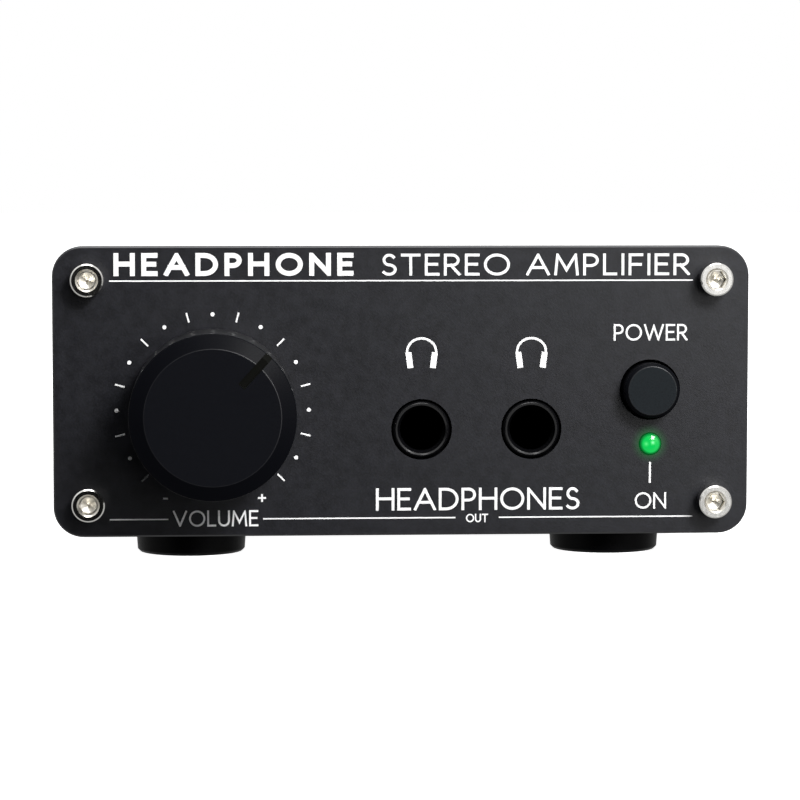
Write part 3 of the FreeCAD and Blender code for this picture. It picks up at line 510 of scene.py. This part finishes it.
def ribbon(mesh, points, width, thick=INK_THICK, closed=False, square=True):
    """Add a flat closed stroke, in panel millimetres, along points with mitred corners."""
    line = [Vector(point) for point in points]
    count = len(line)
    if not closed and square:
        line[0] = line[0] + (line[0] - line[1]).normalized() * width / 2
        line[-1] = line[-1] + (line[-1] - line[-2]).normalized() * width / 2
    sides = []
    for index in range(count):
        before = line[index - 1] if closed or index > 0 else None
        after = line[(index + 1) % count] if closed or index < count - 1 else None
        come = (line[index] - before).normalized() if before is not None else None
        go = (after - line[index]).normalized() if after is not None else None
        come = come if come is not None else go
        go = go if go is not None else come
        normal = Vector((-(come.y + go.y), come.x + go.x)).normalized()
        reach = width / 2 / max(0.35, normal.dot(Vector((-go.y, go.x))))
        sides.append((line[index] + normal * reach, line[index] - normal * reach))
    rows = []
    for left, right in sides:
        corners = [(left, 0.0), (left, thick), (right, thick), (right, 0.0)]
        rows.append([mesh.verts.new(on_panel(point.x, point.y, ahead)) for point, ahead in corners])
    pairs = list(zip(rows, rows[1:]))
    if closed:
        pairs.append((rows[-1], rows[0]))
    for first, second in pairs:
        for corner in range(4):
            following = (corner + 1) % 4
            mesh.faces.new((first[corner], first[following], second[following], second[corner]))
    if not closed:
        mesh.faces.new(rows[0][::-1])
        mesh.faces.new(rows[-1])


def dot(mesh, x, z, radius, thick=INK_THICK, steps=20):
    """Add a flat round dot."""
    rim = arc(x, z, radius, radius, 0, 360 - 360 / steps, steps - 1)
    low = [mesh.verts.new(on_panel(*point, 0.0)) for point in rim]
    high = [mesh.verts.new(on_panel(*point, thick)) for point in rim]
    mesh.faces.new(low)
    mesh.faces.new(high[::-1])
    for index in range(steps):
        following = (index + 1) % steps
        mesh.faces.new((low[index], high[index], high[following], low[following]))


def trim(mesh, level, upward):
    """Cut a mesh off flat at a height on the panel, keeping what is below if upward."""
    direction = Vector((0, 0, 1 if upward else -1))
    parts = mesh.verts[:] + mesh.edges[:] + mesh.faces[:]
    cut = bmesh.ops.bisect_plane(mesh, geom=parts, plane_co=on_panel(0, level), plane_no=direction,
                                 dist=1e-9, clear_outer=True)
    edges = [item for item in cut["geom_cut"] if isinstance(item, bmesh.types.BMEdge)]
    bmesh.ops.holes_fill(mesh, edges=edges, sides=0)


def finish_ink(name, mesh):
    """Turn a bmesh of strokes into a piece that rides on the panel."""
    bmesh.ops.recalc_face_normals(mesh, faces=mesh.faces[:])
    data = bpy.data.meshes.new(name)
    mesh.to_mesh(data)
    mesh.free()
    data.materials.append(MATERIALS["ink"])
    piece = bpy.data.objects.new(name, data)
    bpy.context.collection.objects.link(piece)
    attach(piece, "amplifier")
    return piece


def letter_run(text, gap, space):
    """Width of a word in letter heights, with the given gap between letters."""
    total = 0.0
    for letter in text:
        total += space if letter == " " else LETTERS[letter][0] + gap
    return total - gap


def lettering(name, text, x, z, height, stroke, gap, space=0.42):
    """Draw a word so that it fills x[0] to x[1], standing on z, with letters of the given height."""
    unit = height - stroke
    width = x[1] - x[0] - stroke
    stretch = width / (letter_run(text, gap, space) * unit)
    mesh = bmesh.new()
    across = x[0] + stroke / 2
    for index, letter in enumerate(text):
        if letter == " ":
            across += space * unit * stretch
            continue
        size, strokes = LETTERS[letter]
        for order, stroke_line in enumerate(strokes):
            points = [(across + px * unit * stretch, z + stroke / 2 + py * unit) for px, py in stroke_line]
            closed = letter == "O"
            layer = INK_THICK + STROKE_LAYER * order + LETTER_LAYER * (index % 2)
            ribbon(mesh, points[:-1] if closed else points, stroke, layer, closed)
        across += (size + gap) * unit * stretch
    trim(mesh, z + height, True)
    trim(mesh, z, False)
    return finish_ink(name, mesh)


def rule_line(name, pieces, z, width=0.2):
    """One or more straight level lines at the same height."""
    mesh = bmesh.new()
    for start, end in pieces:
        ribbon(mesh, [(start, z), (end, z)], width, square=False)
    return finish_ink(name, mesh)


SCALE_RADIUS = 14.41
SCALE_STEP = 15
SCALE_LOW = 225
SCALE_MARKS = 19
DASH_LENGTH = 1.5
DASH_WIDTH = 0.25
DOT_RADIUS = 0.31
SIGN_STROKE = 0.28


def volume_scale():
    """Dashes and dots by turns round the knob, every 15 degrees from lower left to lower right."""
    mesh = bmesh.new()
    for step in range(SCALE_MARKS):
        angle = math.radians(SCALE_LOW - SCALE_STEP * step)
        ahead = Vector((math.cos(angle), math.sin(angle)))
        centre = Vector((KNOB_X, KNOB_Z)) + ahead * SCALE_RADIUS
        if step % 2:
            dot(mesh, centre.x, centre.y, DOT_RADIUS)
        else:
            half = ahead * DASH_LENGTH / 2
            ribbon(mesh, [centre - half, centre + half], DASH_WIDTH, square=False)
    return finish_ink("volume_scale_print", mesh)


def plus_and_minus():
    """The signs at the two ends of the scale."""
    mesh = bmesh.new()
    minus_x = KNOB_X - 7.17
    plus_x = KNOB_X + 7.33
    level = KNOB_Z - 13.3
    minus = [(minus_x - 0.36, level), (minus_x + 0.36, level)]
    plus_level = [(plus_x - 0.62, level), (plus_x + 0.62, level)]
    plus_upright = [(plus_x, level - 0.6), (plus_x, level + 0.6)]
    ribbon(mesh, minus, SIGN_STROKE, square=False)
    ribbon(mesh, plus_level, SIGN_STROKE, square=False)
    ribbon(mesh, plus_upright, SIGN_STROKE, INK_THICK + INK_OVER, square=False)
    return finish_ink("plus_minus_print", mesh)


def lamp_pointer():
    """The short upright line under the lamp."""
    mesh = bmesh.new()
    ribbon(mesh, [(LAMP_X, -10.95), (LAMP_X, -14.1)], 0.3, square=False)
    return finish_ink("lamp_pointer_print", mesh)


def headphone_sign(name, x, z):
    """A plain headphones pictogram: a thin band over two slanted ear pads."""
    mesh = bmesh.new()
    band = arc(x, z, 2.18, 1.98, 188, -8, 28)
    ribbon(mesh, band, 0.36, square=False)
    for side in (-1, 1):
        top = (x + side * 2.0, z - 0.12)
        bottom = (x + side * 1.69, z - 2.5)
        ribbon(mesh, [top, bottom], 0.9, INK_THICK + INK_OVER, square=False)
    return finish_ink(name, mesh)


def print_panel():
    """Every marking: name, word, left and right ends, level, height, stroke, gap and space."""
    rule_line("top_line_print", [(-43.95, 43.95)], 16.64)
    rule_line("bottom_line_print", [(-44.1, -35.3), (-21.1, 8.0), (14.6, 44.1)], -19.22)
    lettering("heading_bold_print", "HEADPHONE", (-43.3, -7.4), 17.38, 3.45, 0.74, 0.5)
    lettering("heading_light_print", "STEREO AMPLIFIER", (-3.2, 43.5), 17.38, 3.3, 0.42, 0.30, 0.5)
    lettering("volume_print", "VOLUME", (-34.65, -21.8), -20.35, 2.45, 0.3, 0.26)
    lettering("power_print", "POWER", (31.95, 43.2), 7.5, 2.5, 0.3, 0.26)
    lettering("on_print", "ON", (35.3, 40.1), -18.05, 2.5, 0.3, 0.26)
    lettering("socket_word_print", "HEADPHONES", (-4.05, 26.85), -18.1, 3.4, 0.42, 0.26)
    lettering("output_word_print", "OUT", (9.6, 12.95), -19.95, 1.28, 0.2, 0.3)
    lamp_pointer()
    volume_scale()
    plus_and_minus()
    headphone_sign("left_socket_sign", LEFT_JACK_X, 5.95)
    headphone_sign("right_socket_sign", RIGHT_JACK_X, 5.95)


# ---- stage, light and camera -------------------------------------------------------------------

FLOOR_HALF = 6.0
FLOOR_GLOW = 1.0


def make_floor():
    """A white table that the camera sees; the part neither mirrors it nor is lit by it."""
    mesh = bpy.data.meshes.new("floor")
    corners = [(-FLOOR_HALF, -FLOOR_HALF, 0), (FLOOR_HALF, -FLOOR_HALF, 0),
               (FLOOR_HALF, FLOOR_HALF, 0), (-FLOOR_HALF, FLOOR_HALF, 0)]
    mesh.from_pydata(corners, [], [(0, 1, 2, 3)])
    surface = Surface("floor_white", roughness=0.7)
    surface.colour(surface.blend(surface.noise(40, 2.0), (0.86, 0.86, 0.86), (0.9, 0.9, 0.9)))
    surface.set("Emission Color", (1, 1, 1, 1))
    surface.set("Emission Strength", FLOOR_GLOW)
    mesh.materials.append(surface.material)
    floor = bpy.data.objects.new("floor", mesh)
    floor.visible_diffuse = False
    floor.visible_glossy = False
    bpy.context.collection.objects.link(floor)


def area_light(name, place, target, size, power):
    data = bpy.data.lights.new(name, "AREA")
    data.shape = "RECTANGLE"
    data.size, data.size_y = size
    data.energy = power
    lamp = bpy.data.objects.new(name, data)
    lamp.location = place
    lamp.rotation_euler = (Vector(target) - Vector(place)).to_track_quat("-Z", "Y").to_euler()
    lamp.visible_camera = False
    bpy.context.collection.objects.link(lamp)


def make_lights():
    """Soft lights to the right and above, and one straight down that only the floor shows."""
    centre = (0, PANEL_Y, PANEL_Z)
    for name, (place, size, power) in LIGHTS.items():
        area_light(name, on_panel(*place), centre, size, power)
    data = bpy.data.lights.new("floor_light", "SUN")
    data.energy = FLOOR_LIGHT
    data.angle = math.radians(40)
    bpy.context.collection.objects.link(bpy.data.objects.new("floor_light", data))


# Each light's place is right, up and ahead of the panel's middle, in millimetres.
LIGHTS = {
    "right_card": ((450, 110, 690), (0.7, 0.5), 1.8),
    "upper_light": ((320, 440, 540), (0.25, 0.25), 9.2),
    "high_light": ((-20, 520, 420), (0.15, 0.15), 0.6),
}
FLOOR_LIGHT = 1.5


def make_world():
    """A white surround: dim as a light, brighter in polished metal, most of all from above."""
    world = bpy.data.worlds.new("studio")
    world.use_nodes = True
    tree = world.node_tree
    background = tree.nodes["Background"]
    background.inputs["Color"].default_value = (1, 1, 1, 1)
    path = tree.nodes.new("ShaderNodeLightPath")
    split = tree.nodes.new("ShaderNodeSeparateXYZ")
    tree.links.new(tree.nodes.new("ShaderNodeTexCoord").outputs["Generated"], split.inputs[0])

    def ranged(value, low, high, to_low, to_high):
        node = tree.nodes.new("ShaderNodeMapRange")
        tree.links.new(value, node.inputs["Value"])
        limits = (("From Min", low), ("From Max", high), ("To Min", to_low), ("To Max", to_high))
        for key, limit in limits:
            if isinstance(limit, (int, float)):
                node.inputs[key].default_value = limit
            else:
                tree.links.new(limit, node.inputs[key])
        return node.outputs["Result"]

    overhead = ranged(split.outputs["Z"], 0.1, 0.7, SURROUND_SIDE, SURROUND_SHINE)
    shine = ranged(split.outputs["Y"], -0.8, -0.55, SURROUND_LIGHT, overhead)
    light = ranged(path.outputs["Is Glossy Ray"], 0.0, 1.0, SURROUND_LIGHT, shine)
    level = ranged(path.outputs["Is Camera Ray"], 0.0, 1.0, light, SURROUND_LOOK)
    tree.links.new(level, background.inputs["Strength"])
    bpy.context.scene.world = world
    bpy.context.scene.view_settings.view_transform = "Standard"


SURROUND_LIGHT = 0.004
SURROUND_SIDE = 0.6
SURROUND_SHINE = 1.1
SURROUND_LOOK = 1.0
CAMERA_OFFSET = (-27.32, 450.0, 30.54)
CAMERA_YAW = 3.423
CAMERA_PITCH = -4.047
CAMERA_LENS = 134.9


def make_camera():
    """A long lens in front of the panel, a little left of its middle and above it."""
    data = bpy.data.cameras.new("camera")
    data.sensor_width = 36.0
    data.lens = CAMERA_LENS
    data.clip_start = 0.01
    data.clip_end = 50.0
    camera = bpy.data.objects.new("camera", data)
    left, away, up = CAMERA_OFFSET
    camera.location = on_panel(left, up, away)
    yaw = math.radians(CAMERA_YAW)
    pitch = math.radians(CAMERA_PITCH)
    ahead = Vector((math.sin(yaw) * math.cos(pitch), math.cos(yaw) * math.cos(pitch), math.sin(pitch)))
    right = Vector((math.cos(yaw), -math.sin(yaw), 0))
    turn = Matrix((right, right.cross(ahead), -ahead)).transposed()
    camera.rotation_euler = turn.to_euler()
    bpy.context.collection.objects.link(camera)
    bpy.context.scene.camera = camera


dress_nodes()
print_panel()
make_floor()
make_lights()
make_world()
make_camera()
